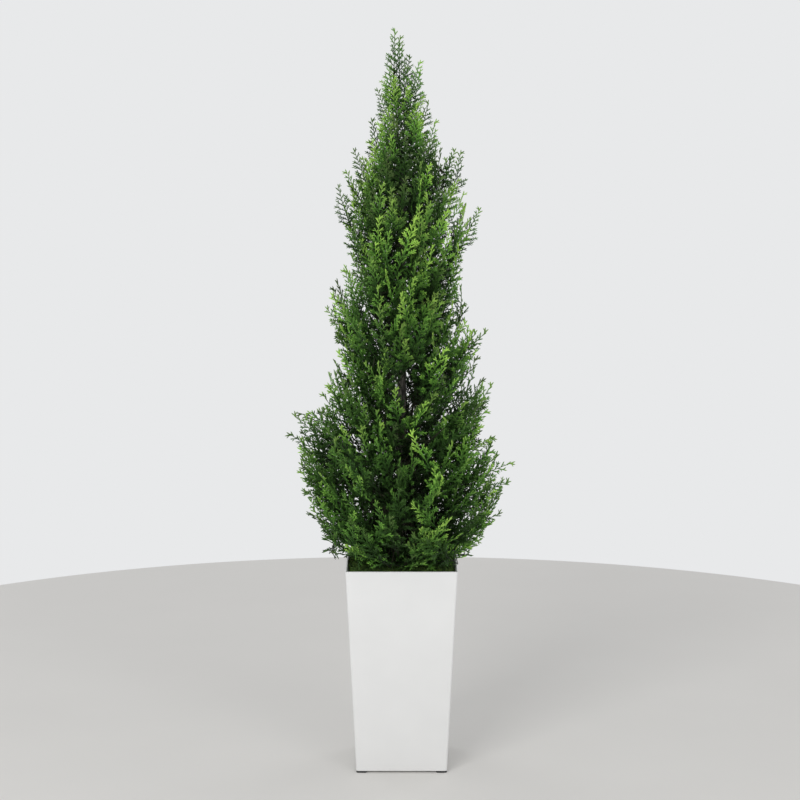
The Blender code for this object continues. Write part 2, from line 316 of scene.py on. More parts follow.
def wire_wrap(settings):
    """Floral wire wrapped in crepe paper tape: dull, with a fine slanting ribbing."""
    finish, tree, shader = new_material("paper_wrapped_wire", Roughness=0.85)
    shader.inputs["Specular IOR Level"].default_value = 0.2
    place = add_node(tree, "ShaderNodeTexCoord")
    bands = add_node(
        tree, "ShaderNodeTexWave", {"Scale": 40.0, "Distortion": 2.0, "Detail": 2.0},
        {"Vector": place.outputs["Object"]}, bands_direction="DIAGONAL",
    )
    grey = noise_of(tree, 6 * MM)
    shade = ramp(tree, grey, [
        (0.3, between_colours(settings.wrap, BLACK, 0.45)), (0.7, tuple(settings.wrap)),
    ])
    tree.links.new(shade, shader.inputs["Base Color"])
    bump(tree, shader, bands.outputs["Fac"], 0.3, 0.2 * MM)
    return finish


def bark_plastic(settings):
    """Bark moulded in plastic with a dark wash: matte ridges, darker in the furrows."""
    finish, tree, shader = new_material("moulded_bark", Roughness=0.8)
    shader.inputs["Specular IOR Level"].default_value = 0.3
    place = add_node(tree, "ShaderNodeTexCoord")
    stretch = add_node(
        tree, "ShaderNodeMapping", {"Scale": (1, 1, 0.18)}, {"Vector": place.outputs["Object"]},
    )
    grain = add_node(
        tree, "ShaderNodeTexNoise", {"Scale": 1 / (3 * MM), "Detail": 6.0, "Roughness": 0.65},
        {"Vector": stretch.outputs["Vector"]},
    )
    shade = ramp(tree, grain.outputs["Fac"], [(0.38, settings.bark_dark), (0.62, settings.bark)])
    tree.links.new(shade, shader.inputs["Base Color"])
    bump(tree, shader, grain.outputs["Fac"], 0.7, 0.8 * MM)
    return finish


def planter_plastic(settings):
    """Polypropylene moulded with a satin face: white, evenly lit, with a soft reflection."""
    finish, tree, shader = new_material("satin_white_polypropylene", IOR=1.49, Coat_Weight=0.25)
    shader.inputs["Coat Roughness"].default_value = 0.12
    wave = noise_of(tree, 60 * MM, 1.0)
    tint = ramp(tree, wave, [
        (0.3, between_colours(settings.wall, BLACK, 0.025)), (0.7, tuple(settings.wall)),
    ])
    tree.links.new(tint, shader.inputs["Base Color"])
    grain = noise_of(tree, 1.2 * MM, 2.0)
    rough = add_node(
        tree, "ShaderNodeMapRange", {"To Min": 0.26, "To Max": 0.34}, {"Value": grain},
    )
    tree.links.new(rough.outputs["Result"], shader.inputs["Roughness"])
    bump(tree, shader, grain, 0.05, 0.1 * MM)
    return finish


def mottled(name, dark, light, cell, roughness, depth, metallic=0.0):
    """A plain stock material: two close tones in cells of a real size, with a fine relief."""
    finish, tree, shader = new_material(name, Roughness=roughness, Metallic=metallic)
    cells = noise_of(tree, cell, 4.0)
    shade = ramp(tree, cells, [(0.35, linear(dark)), (0.65, linear(light))])
    tree.links.new(shade, shader.inputs["Base Color"])
    bump(tree, shader, cells, 0.4, depth)
    return finish


def moss_fibre(settings):
    """Dyed dried moss: matte, in cells of painted shade and painted light on its fibres, and
    straw-coloured here and there.
    """
    finish, tree, shader = new_material("dyed_dried_moss", Roughness=0.95)
    cells = noise_of(tree, 7 * MM, 4.0, 0.7)
    # the dark cells are painted shade and the light cells painted light on the fibres; the straw
    # cells are the moss's own colour
    shade = ramp(tree, cells, [
        (0.35, settings.dark), (0.55, settings.light),
        (0.66, between_colours(settings.light, settings.straw, 0.3)), (0.74, settings.straw),
    ])
    tree.links.new(shade, shader.inputs["Base Color"])
    bump(tree, shader, noise_of(tree, 2 * MM), 0.6, 1 * MM)
    return finish


# ---------------------------------------------------------------- planter

def make_planter_shell(settings):
    """The tapered square tower, hollow, with rounded edges."""
    bm = bmesh.new()
    height = PLANTER_HIGH.z - PLANTER_LOW.z
    middle = Vector((0, 0, (PLANTER_HIGH.z + PLANTER_LOW.z) / 2))
    base_half = base_half_width()
    top_half = PLANTER_HIGH.x
    matrix = Matrix.Translation(middle) @ Matrix.Diagonal((1, 1, height, 1))
    bmesh.ops.create_cube(bm, size=1, matrix=matrix)
    for vert in bm.verts:
        half = top_half if vert.co.z > middle.z else base_half
        vert.co.x = math.copysign(half, vert.co.x)
        vert.co.y = math.copysign(half, vert.co.y)
    upright = [e for e in bm.edges if is_upright(e, height)]
    bmesh.ops.bevel(
        bm, geom=upright, offset=settings.corner,
        segments=6, profile=0.5, affect="EDGES", material=-1,
    )
    top = max(bm.faces, key=lambda f: f.calc_center_median().z)
    bmesh.ops.inset_region(bm, faces=[top], thickness=settings.wall_thickness, use_even_offset=True)
    down = bmesh.ops.extrude_discrete_faces(bm, faces=[top])["faces"][0]
    depth = height - settings.wall_thickness
    bmesh.ops.translate(bm, verts=down.verts, vec=(0, 0, -depth))
    shrink = (base_half - settings.wall_thickness) / (top_half - settings.wall_thickness)
    bmesh.ops.scale(bm, verts=down.verts, vec=(shrink, shrink, 1))
    rim = [e for e in bm.edges if min(v.co.z for v in e.verts) > RIM - 0.1 * MM]
    foot = [e for e in bm.edges if max(v.co.z for v in e.verts) < PLANTER_LOW.z + 0.1 * MM]
    bmesh.ops.bevel(
        bm, geom=rim + foot, offset=settings.rim,
        segments=3, profile=0.5, affect="EDGES", material=-1,
    )
    return to_mesh(bm, "planter_wall", sharp=CRISP)


def base_half_width():
    """Half the planter's width at its base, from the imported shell."""
    low = PLANTER_LOW.z + 1 * MM
    return max(v.co.x for v in frame["nodes"]["planter_shell"].data.vertices if v.co.z < low)


class CEDAR_OT_planter(bpy.types.Operator):
    """Makes the planter's wall and its corner pads"""
    bl_idname = "cedar.planter"
    bl_label = "Planter"

    def execute(self, context):
        settings = context.scene.cedar_planter
        white = planter_plastic(settings)
        as_piece(
            "planter_wall", make_planter_shell(settings), [white],
            "planter", ["planter_shell"],
        )
        rubber = mottled("moulded_rubber", "#0B0B0B", "#1C1C1B", 2 * MM, 0.75, 0.2 * MM)
        for name in ("front_left", "front_right", "back_left", "back_right"):
            make_foot(f"planter_foot_{name}", rubber)
        return {"FINISHED"}


def make_foot(node, rubber):
    """A corner pad with softened edges."""
    low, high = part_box(node)
    bm = bmesh.new()
    size = high - low
    matrix = Matrix.Translation((low + high) / 2) @ Matrix.Diagonal((*size, 1))
    bmesh.ops.create_cube(bm, size=1, matrix=matrix)
    upright = [e for e in bm.edges if is_upright(e, size.z)]
    bmesh.ops.bevel(
        bm, geom=upright, offset=4 * MM, segments=4, profile=0.5, affect="EDGES", material=-1,
    )
    flat = [e for e in bm.edges if abs(e.verts[0].co.z - e.verts[1].co.z) < 0.1 * MM]
    bmesh.ops.bevel(
        bm, geom=flat, offset=0.5 * MM, segments=2, profile=0.5, affect="EDGES", material=-1,
    )
    pad = node.replace("planter_foot", "planter_pad")
    as_piece(pad, to_mesh(bm, pad, sharp=CRISP), [rubber], "planter", [node])


class CEDAR_OT_inside(bpy.types.Operator):
    """Finishes the pieces hidden in the planter: foam, pot, ballast and rod"""
    bl_idname = "cedar.inside"
    bl_label = "Hidden pieces"

    def execute(self, context):
        foam = mottled("expanded_polystyrene", "#DCDCD6", "#F2F2EE", 4 * MM, 0.9, 0.5 * MM)
        finishes = {
            "foam_riser": foam,
            "foam_collar": foam,
            "nursery_pot": mottled(
                "black_nursery_pot", "#0C0C0C", "#1B1B1B", 1 * MM, 0.55, 0.1 * MM,
            ),
            "ballast": mottled("cast_cement", "#77746D", "#97938A", 8 * MM, 0.95, 0.8 * MM),
            "trunk_core": mottled(
                "drawn_steel_rod", "#8D8D8D", "#A9A9A8", 0.5 * MM, 0.35, 0.02 * MM, metallic=1.0,
            ),
        }
        for node, finish in finishes.items():
            piece = frame["nodes"][node]
            piece.data.materials.clear()
            piece.data.materials.append(finish)
        return {"FINISHED"}


# ---------------------------------------------------------------- moss

# the moss bed: below the rim at its edge, higher by the crown in its middle
MOSS_DROP = 8 * MM
MOSS_CROWN = 3 * MM
MOSS_CELLS = 46


class CEDAR_OT_moss(bpy.types.Operator):
    """Makes the moss that fills the planter's mouth"""
    bl_idname = "cedar.moss"
    bl_label = "Moss"

    def execute(self, context):
        settings = context.scene.cedar_moss
        rng = random.Random(5)
        bm = bmesh.new()
        add_moss_bed(bm)
        tuft = moss_tuft()
        half = MOSS_HIGH.x - 3 * MM
        for _ in range(settings.tufts):
            x, y = rng.uniform(-half, half), rng.uniform(-half, half)
            z = moss_height(x, y) - 1 * MM
            lean = Matrix.Rotation(rng.uniform(0, 0.7), 4, "X")
            spin = Matrix.Rotation(rng.uniform(0, math.tau), 4, "Z")
            size = rng.uniform(0.6, 1.3)
            add_mesh(bm, tuft, Matrix.Translation((x, y, z)) @ spin @ lean @ Matrix.Scale(size, 4))
        fibre = moss_fibre(settings)
        as_piece("moss_bed", to_mesh(bm, "moss_bed"), [fibre], "tree", ["moss_mat"])
        return {"FINISHED"}


def moss_height(x, y):
    """Height of the lumpy bed: higher towards the trunk."""
    edge = max(abs(x), abs(y)) / MOSS_HIGH.x
    crown = MOSS_CROWN * (1 - edge ** 2)
    # lumps 17 mm across, with smaller ones 6 mm across on them
    lumps = 4 * MM * noise.noise(Vector((x, y, 0)) * 60)
    lumps += 2 * MM * noise.noise(Vector((x, y, 3)) * 170)
    return RIM - MOSS_DROP + crown + lumps


def add_moss_bed(bm):
    """A closed lumpy slab under the tufts."""
    made = bmesh.ops.create_grid(
        bm, x_segments=MOSS_CELLS, y_segments=MOSS_CELLS, size=MOSS_HIGH.x - 1 * MM,
    )
    for vert in made["verts"]:
        vert.co.z = moss_height(vert.co.x, vert.co.y)
    edges = [e for e in bm.edges if e.is_boundary]
    skirt = bmesh.ops.extrude_edge_only(bm, edges=edges)["geom"]
    low = MOSS_LOW.z + 1 * MM
    foot = [item for item in skirt if isinstance(item, bmesh.types.BMVert)]
    for vert in foot:
        vert.co.z = low
        vert.co.x *= 0.985
        vert.co.y *= 0.985
    bmesh.ops.holes_fill(bm, edges=[e for e in bm.edges if e.is_boundary], sides=0)
    bmesh.ops.recalc_face_normals(bm, faces=bm.faces)


def moss_tuft():
    """Four short curling fibres."""
    rng = random.Random(2)
    bm = bmesh.new()
    for index in range(4):
        angle = index * GOLDEN_TURN
        out = Vector((math.cos(angle), math.sin(angle), 0))
        tip = out * rng.uniform(3, 5) * MM + UP * rng.uniform(5, 9) * MM
        points = [out * 0.5 * MM, out * 1.5 * MM + UP * 4 * MM, tip]
        tube(bm, points, [0.6 * MM, 0.5 * MM, 0.2 * MM], 3)
    return to_mesh(bm, "moss_tuft")


# ---------------------------------------------------------------- trunk

# the trunk's radius at its top, as a share of that at its foot
TAPER = 0.72


class CEDAR_OT_trunk(bpy.types.Operator):
    """Makes the moulded bark of the trunk"""
    bl_idname = "cedar.trunk"
    bl_label = "Trunk"

    def execute(self, context):
        bark = bark_plastic(context.scene.cedar_wood)
        base = BARK_HIGH.x
        top = base * TAPER
        height = BARK_HIGH.z - BARK_LOW.z
        bm = bmesh.new()
        middle = Matrix.Translation((0, 0, (BARK_LOW.z + BARK_HIGH.z) / 2))
        bmesh.ops.create_cone(
            bm, cap_ends=True, segments=28, radius1=base, radius2=top, depth=height, matrix=middle,
        )
        upright = [e for e in bm.edges if is_upright(e, height)]
        bmesh.ops.subdivide_edges(bm, edges=upright, cuts=220, use_grid_fill=True)
        for vert in bm.verts:
            out = Vector((vert.co.x, vert.co.y, 0))
            # the middles of the two ends stay where they are
            if out.length < base * 0.3:
                continue
            # ridges about 4 mm apart round the trunk and 26 mm long
            place = Vector((vert.co.x * 260, vert.co.y * 260, vert.co.z * 38))
            ridge = noise.fractal(place, 0.8, 2.1, 3)
            vert.co += out.normalized() * ridge * 0.9 * MM
        as_piece(
            "trunk_bark_shell", to_mesh(bm, "trunk_bark_shell"), [bark],
            "tree", ["trunk_bark"],
        )
        return {"FINISHED"}


# ---------------------------------------------------------------- sprays

# from one leaflet to the next along a side twig, as a share of a leaflet
LEAFLET_STEP = 0.56
LONGEST_TWIG = 6
TWIG_KINDS = 3
SPRAY_KINDS = 10


def leaflet(settings):
    """One pointed, flattened leaflet along +X."""
    bm = bmesh.new()
    long, wide, thick = settings.leaflet_length, settings.leaflet_width, settings.leaflet_thickness
    body = long * 0.58
    matrix = Matrix.Diagonal((1, wide / 2, thick / 2, 1)) @ Matrix.Translation((body / 2, 0, 0))
    matrix = matrix @ Matrix.Rotation(math.pi / 2, 4, "Y")
    bmesh.ops.create_cone(
        bm, cap_ends=True, segments=3, radius1=0.6, radius2=1, depth=body, matrix=matrix,
    )
    # the wide end is drawn out to the leaflet's point
    widest = max(bm.faces, key=lambda face: face.calc_center_median().x)
    tip = bmesh.ops.poke(bm, faces=[widest])["verts"][0]
    tip.co.x = long
    bmesh.ops.recalc_face_normals(bm, faces=bm.faces)
    return to_mesh(bm, "leaflet")


def side_twig(settings, shape, joints, seed):
    """A side twig along +X: leaflets end to end, with one or two more at every joint."""
    rng = random.Random(seed)
    bm = bmesh.new()
    step = settings.leaflet_length * LEAFLET_STEP
    for index in range(joints + 1):
        start = Vector((index * step, 0, 0))
        add_mesh(bm, shape, Matrix.Translation(start))
        if index == 0:
            continue
        side = 1 if index % 2 else -1
        for hand in (side, -side):
            if hand != side and rng.random() < 0.4:
                continue
            angle = hand * math.radians(rng.uniform(32, 48))
            tilt = Matrix.Rotation(math.radians(rng.uniform(-35, 35)), 4, "X")
            size = rng.uniform(0.72, 1.0)
            turn = Matrix.Rotation(angle, 4, "Z")
            add_mesh(bm, shape, Matrix.Translation(start) @ tilt @ turn @ Matrix.Scale(size, 4))
    return to_mesh(bm, f"side_twig_{joints}_{seed}")


def spray_point(share, reach, bend, sway):
    """A point and direction on a spray's curved midrib, which starts along +X and bends to +Z."""
    heading = bend * (share - 0.5)
    start = -bend / 2
    radius = reach / bend
    forward = radius * (math.sin(heading) - math.sin(start))
    rise = radius * (math.cos(start) - math.cos(heading))
    point = Vector((forward, sway * reach * share * share, rise))
    return point, Vector((math.cos(heading), 2 * sway * share, math.sin(heading))).normalized()


def spray(settings, twigs, seed):
    """A whole spray: a curved midrib with side twigs to both sides, lance-shaped in outline."""
    rng = random.Random(seed)
    bm = bmesh.new()
    reach = settings.spray_length
    bend = math.radians(rng.uniform(12, 38))
    sway = rng.uniform(-0.08, 0.08)
    shares = [index / 7 for index in range(8)]
    radii = [between(1.1, 0.5, share) * MM for share in shares]
    tube(bm, [spray_point(share, reach, bend, sway)[0] for share in shares], radii, 4)
    count = int(reach * 0.9 / settings.side_spacing)
    for index in range(count):
        share = between(0.10, 0.98, index / (count - 1))
        side = 1 if index % 2 else -1
        point, along = spray_point(share, reach, bend, sway)
        # full width from a quarter to two fifths of the length, pointed at both ends
        outline = min((share / 0.25) ** 0.7, ((1.03 - share) / 0.63) ** 0.9, 1)
        wanted = settings.spray_width * outline * rng.uniform(0.85, 1.12)
        joints = round(wanted / (settings.leaflet_length * LEAFLET_STEP) - 1)
        joints = max(1, min(LONGEST_TWIG, joints))
        angle = side * math.radians(between(52, 28, share) + rng.uniform(-6, 6))
        matrix = facing(along, Vector((0, 1, 0)))
        matrix = Matrix.Translation(point) @ matrix @ Matrix.Rotation(rng.gauss(0, 0.5), 4, "X")
        lift = Matrix.Rotation(rng.uniform(-0.35, 0.1), 4, "Y")
        matrix = matrix @ Matrix.Rotation(angle, 4, "Z") @ lift
        add_mesh(bm, rng.choice(twigs[joints]), matrix)
    point, along = spray_point(0.97, reach, bend, sway)
    add_mesh(bm, twigs[1][0], Matrix.Translation(point) @ facing(along, Vector((0, 1, 0))))
    mesh = to_mesh(bm, f"spray_{seed}")
    return mesh, paint_growth(mesh, reach, settings.spray_width, rng)


def paint_growth(mesh, reach, half_width, rng):
    """Stores how young each corner is, from the wire to the tips, and a narrow spread beside it."""
    vertex = np.zeros(len(mesh.loops), np.int32)
    mesh.loops.foreach_get("vertex_index", vertex)
    places = np.zeros(len(mesh.vertices) * 3, np.float32)
    mesh.vertices.foreach_get("co", places)
    places = places.reshape(-1, 3)
    along = places[:, 0] / reach
    out = np.abs(places[:, 1]) / half_width
    draw = np.random.default_rng(rng.randrange(1000))
    # low near the wire, where the darkest green is partly painted shade
    growth = 0.80 * along + 0.46 * out - 0.08 + draw.uniform(-0.13, 0.13, len(along))
    spread = draw.uniform(-0.012, 0.012, len(along))
    layer = mesh.uv_layers.new(name="OFBake")
    values = np.stack([np.clip(growth, 0.02, 0.98)[vertex], spread[vertex]], 1).astype(np.float32)
    layer.uv.foreach_set("vector", values.ravel())
    return values.ravel()


def painted_copy(mesh, growth, age, greenness_light_and_shade):
    """A copy of a spray with its own age, 0 for mature and 1 for tip-painted, and its own green,
    which also carries painted light at the crown's top and painted shade inside it.
    """
    copy = mesh.copy()
    values = growth.copy()
    values[0::2] = np.clip(values[0::2] * greenness_light_and_shade, 0.01, 0.99)
    values[1::2] = values[1::2] + between(0.03, 0.97, age)
    copy.uv_layers["OFBake"].uv.foreach_set("vector", values)
    return copy


# ---------------------------------------------------------------- crown

# where a bough's wire ends, as a share of its arc
WIRE_END = 0.72
# across one patch of fresh or of mature sprays
PATCH_SIZE = 55 * MM
# from the trunk's middle to the nearest foot of a spray
TRUNK_CLEAR = BARK_HIGH.x + 5 * MM
# from a spray's line to the planter's side, and to the height of its rim
SIDE_CLEAR = 8 * MM
MOUTH_CLEAR = 17 * MM
# a spray whose foot is this near to the rim or to the trunk's middle lies flat, clear of both
LIES_FLAT = 40 * MM
SHORTEST_SPRAY = 45 * MM
# above this height, every spray is placed singly
SINGLE_SPRAYS_FROM = 1.30
# levels of the crown among which the sprays are shared out
LEVELS = 400
# the boughs nearby that are tried for one spray
BOUGHS_TRIED = 8

# openings at the front, where the trunk or the light behind shows: x, z, half width, half height
OPENINGS = ((0.010, 0.700, 0.011, 0.040),)

# height above the floor, reach to the left and reach to the right of the trunk
CROWN_OUTLINE = (
    (0.395, 0.125, 0.125),
    (0.437, 0.160, 0.175),
    (0.498, 0.192, 0.187),
    (0.574, 0.197, 0.205),
    (0.630, 0.212, 0.172),
    (0.690, 0.158, 0.168),
    (0.800, 0.128, 0.152),
    (0.890, 0.138, 0.113),
    (0.960, 0.100, 0.112),
    (1.046, 0.114, 0.128),
    (1.134, 0.079, 0.100),
    (1.200, 0.042, 0.047),
    (1.260, 0.032, 0.034),
    (1.320, 0.022, 0.014),
    (1.372, 0.020, 0.004),
)

# the sprays that show singly at the top: tip, foot and age
CROWN_SPRAYS = (
    ((-0.009, -0.004, 1.356), (-0.003, -0.002, 1.266), 0.35),
    ((0.034, 0.003, 1.292), (0.016, 0.000, 1.205), 0.5),
    ((0.002, -0.006, 1.302), (0.004, -0.002, 1.215), 0.3),
    ((-0.020, 0.004, 1.288), (-0.006, 0.000, 1.200), 0.6),
    ((0.027, 0.000, 1.313), (0.014, 0.002, 1.228), 0.9),
    ((0.015, 0.006, 1.322), (0.004, 0.002, 1.250), 0.2),
    ((-0.027, -0.004, 1.302), (-0.010, 0.000, 1.222), 0.9),
    ((-0.049, 0.004, 1.259), (-0.012, 0.000, 1.188), 0.3),
    ((0.056, 0.004, 1.237), (0.024, -0.002, 1.155), 0.3),
    ((-0.047, -0.006, 1.207), (-0.040, 0.000, 1.110), 0.1),
    ((0.053, -0.008, 1.207), (0.040, 0.000, 1.110), 0.7),
    ((0.024, -0.034, 1.222), (0.012, -0.016, 1.130), 1.0),
    ((-0.012, -0.040, 1.180), (-0.004, -0.020, 1.085), 1.0),
    ((-0.080, 0.000, 1.153), (-0.055, 0.000, 1.060), 0.2),
    ((0.090, 0.004, 1.153), (0.066, 0.000, 1.065), 0.4),
    ((0.114, -0.004, 1.146), (0.088, -0.002, 1.060), 0.3),
    ((-0.120, -0.004, 1.085), (-0.088, 0.000, 1.000), 0.2),
    ((0.136, 0.002, 1.046), (0.104, 0.000, 0.960), 0.5),
    ((0.008, 0.036, 1.240), (0.004, 0.014, 1.140), 0.7),
    ((-0.030, 0.044, 1.190), (-0.014, 0.022, 1.095), 0.9),
)

# the sprays that show singly at the sides: tip, foot and age
SIDE_SPRAYS = (
    ((-0.204, 0.000, 0.654), (-0.105, 0.004, 0.595), 0.3),
    ((-0.206, -0.006, 0.628), (-0.112, -0.004, 0.562), 0.2),
    ((-0.185, 0.006, 0.671), (-0.080, 0.002, 0.628), 0.1),
    ((-0.192, -0.004, 0.562), (-0.092, 0.000, 0.504), 0.4),
    ((-0.183, 0.004, 0.512), (-0.075, 0.002, 0.473), 0.3),
    ((-0.165, -0.006, 0.474), (-0.056, -0.002, 0.438), 0.5),
    ((-0.135, 0.002, 0.436), (-0.030, 0.000, 0.412), 0.2),
    ((0.201, 0.000, 0.581), (0.098, 0.002, 0.528), 0.6),
    ((0.197, -0.004, 0.535), (0.089, -0.002, 0.496), 0.5),
    ((0.185, 0.004, 0.470), (0.078, 0.000, 0.427), 0.3),
    ((0.141, -0.002, 0.430), (0.030, 0.000, 0.412), 0.5),
    ((0.174, 0.004, 0.713), (0.100, 0.002, 0.625), 0.7),
    ((0.167, -0.004, 0.621), (0.073, 0.000, 0.555), 0.4),
    ((0.159, 0.002, 0.812), (0.071, 0.000, 0.738), 0.4),
)


def crown_reach(height, azimuth):
    """How far the foliage reaches from the trunk at a height and in a direction."""
    height = min(max(height, CROWN_OUTLINE[0][0]), CROWN_OUTLINE[-1][0])
    for lower, upper in zip(CROWN_OUTLINE, CROWN_OUTLINE[1:]):
        if height <= upper[0]:
            share = (height - lower[0]) / (upper[0] - lower[0])
            left = between(lower[1], upper[1], share)
            right = between(lower[2], upper[2], share)
            return between(left, right, (1 + math.cos(azimuth)) / 2)
    return CROWN_OUTLINE[-1][1]


class Bough:
    """A wire stem: an arc from its knuckle on the trunk to its tip."""

    def __init__(self, joint):
        self.body = joint["child"]
        self.root = Vector(joint["pos_m"])
        self.axis = Vector(joint["axis"])
        self.limits = [math.radians(angle) for angle in joint["range_deg"]]
        places = [v.co for v in frame["nodes"][self.body + "_foliage"].data.vertices]
        far = max((p - self.root).length for p in places)
        tips = [p for p in places if (p - self.root).length > far * 0.985]
        self.tip = sum(tips, Vector()) / len(tips)
        chord = self.tip - self.root
        out = Vector((chord.x, chord.y, 0))
        self.out = out.normalized()
        self.angle = math.atan2(chord.z, out.length)
        self.reach = chord.length
        # the leader is almost straight
        self.turn = math.radians(26 if out.length > 0.03 else 8)
        self.sprays = []

    def point(self, share):
        """Point on the arc."""
        start = self.angle - self.turn / 2
        heading = start + self.turn * share
        radius = self.reach / (2 * math.sin(self.turn / 2))
        flat = radius * (math.sin(heading) - math.sin(start))
        return self.root + self.out * flat + UP * radius * (math.cos(start) - math.cos(heading))

    def cost(self, base):
        """Low for a spray near the wire and in front of its root, while the bough carries few."""
        behind = max(0, -(base - self.root).dot(self.out))
        return self.nearest(base)[0] + 3 * behind + len(self.sprays) * 1.2 * MM

    def carries(self, base, heading, long):
        """Whether a spray keeps to this side of the trunk and clear of the moss and the planter."""
        if base.dot(self.out) < 0:
            return False
        for angle in self.limits:
            turn = Matrix.Rotation(angle, 3, self.axis)
            for part in (0, 0.25, 0.5, 0.75, 1.0):
                place = self.root + turn @ (base + heading * long * part - self.root)
                if place.z < BARK_HIGH.z and math.hypot(place.x, place.y) < TRUNK_CLEAR:
                    return False
                inside = max(abs(place.x), abs(place.y)) < PLANTER_HIGH.x + SIDE_CLEAR
                if inside and place.z < RIM + MOUTH_CLEAR:
                    return False
        return True

    def end(self):
        """The outermost point of the arc that stays inside the crown's outline."""
        for share in (1.0, 0.95, 0.9, 0.85, 0.8):
            place = self.point(share)
            if math.hypot(place.x, place.y) < crown_reach(place.z, math.atan2(place.y, place.x)):
                break
        return place

    def nearest(self, place):
        """Distance to the wire, and the share along the arc."""
        shares = [WIRE_END * index / 8 for index in range(1, 9)]
        return min(((self.point(share) - place).length, share) for share in shares)


def in_gap(place):
    """Whether a point in front of the trunk lies in an opening."""
    return place.y < -15 * MM and any(
        abs(place.x - x) < wide and abs(place.z - z) < high for x, z, wide, high in OPENINGS
    )


def plan_sprays(settings, boughs):
    """Spreads the sprays evenly over shells of the crown, and hands each to a bough nearby.

    A spray is its foot, heading, length, age, green with its painted light and shade, and roll,
    which is None where it may turn either way. Gives back those that no bough can carry: they stand
    on the trunk.
    """
    rng = random.Random(11)
    skirt = []
    low, high = CROWN_OUTLINE[0][0], TREE_TOP
    # count, reach as a share of the crown's, youngest and oldest age, how green each spray turns;
    # the middle and inner shells turn less green, darker as painted shade inside the crown
    shells = (
        (settings.outer, 1.00, (0.05, 1.0), (0.8, 1.15)),
        (settings.middle, 0.74, (0.0, 0.55), (0.45, 0.8)),
        (settings.inner, 0.45, (0.0, 0.10), (0.2, 0.45)),
    )
    # a wide level gets more sprays than a narrow one
    heights = [low + (high - low) * (level + 0.5) / LEVELS for level in range(LEVELS)]
    weights = [crown_reach(height, 0) + crown_reach(height, math.pi) + 0.03 for height in heights]
    filled = np.cumsum(weights) / sum(weights)
    for count, depth, ages, greens_and_shade in shells:
        for index in range(count):
            level = int(np.searchsorted(filled, (index + 0.5) / count))
            height = heights[level] + rng.uniform(-0.01, 0.01)
            azimuth = index * GOLDEN_TURN + rng.uniform(-0.25, 0.25)
            reach = crown_reach(height, azimuth) * depth * rng.uniform(0.86, 0.97)
            tip = Vector((math.cos(azimuth) * reach, math.sin(azimuth) * reach, height))
            share = min(max((height - low) / (high - low), 0), 1)
            scatter = rng.uniform(-14, 14) * (1 - share * share)
            climb = math.radians(between(32, 80, share ** 0.8) + scatter)
            long = settings.spray_length * between(1.08, 0.74, share) * rng.uniform(0.85, 1.1)
            # no steeper than lets its foot stay above the rim
            climb = min(climb, math.asin(min(max((height - RIM - 8 * MM) / long, -0.1), 1)))
            sideways = azimuth + rng.gauss(0, 0.35)
            run = math.cos(climb) * max(math.cos(sideways - azimuth), 0.1)
            long = min(long, (reach - TRUNK_CLEAR) / run)
            if long < SHORTEST_SPRAY:
                continue
            heading = Vector((
                math.cos(sideways) * math.cos(climb),
                math.sin(sideways) * math.cos(climb),
                math.sin(climb),
            ))
            base = tip - heading * long
            if tip.z > SINGLE_SPRAYS_FROM:
                continue
            if any(in_gap(base + heading * long * part) for part in (0.2, 0.4, 0.6, 0.8, 1.0)):
                continue
            carrier = carrier_of(boughs, base, heading, long)
            # fresh and mature growth stand in patches
            patch = noise.noise(tip / PATCH_SIZE)
            age = min(max(rng.uniform(*ages) + 0.4 * patch, 0), 1)
            # higher sprays are made lighter and greener as painted light on the top of the crown,
            # and the inner shells darker as painted shade; the patches are the sprays' own fresh
            # and mature green
            greenness_light_and_shade = rng.uniform(*greens_and_shade) * between(0.98, 1.65, share * share)
            greenness_light_and_shade *= 1 + 0.3 * patch
            carried = carrier.sprays if carrier else skirt
            flat = base.z < RIM + LIES_FLAT or math.hypot(base.x, base.y) < LIES_FLAT
            roll = rng.gauss(0, 0.2) if flat else None
            carried.append((base, heading, long, age, greenness_light_and_shade, roll))
    # one spray goes on from the end of every wire
    for bough in boughs:
        end = bough.end()
        heading = (end - bough.point(WIRE_END * 0.9)).normalized()
        long = settings.spray_length * 0.8
        bough.sprays.append((end - heading * (long + 4 * MM), heading, long, 0.6, 1.0, math.pi / 2))
    for tip, base, age in CROWN_SPRAYS + SIDE_SPRAYS:
        tip, base = Vector(tip), Vector(base)
        heading, long = (tip - base).normalized(), (tip - base).length
        carrier = carrier_of(boughs, base, heading, long)
        carried = carrier.sprays if carrier else skirt
        carried.append((base, heading, long, age, 1.0, math.pi / 2))
    return skirt


def carrier_of(boughs, base, heading, long):
    """The bough that carries a spray, or nothing when none nearby can."""
    nearby = sorted(boughs, key=lambda b: b.cost(base))[:BOUGHS_TRIED]
    return next((b for b in nearby if b.carries(base, heading, long)), None)


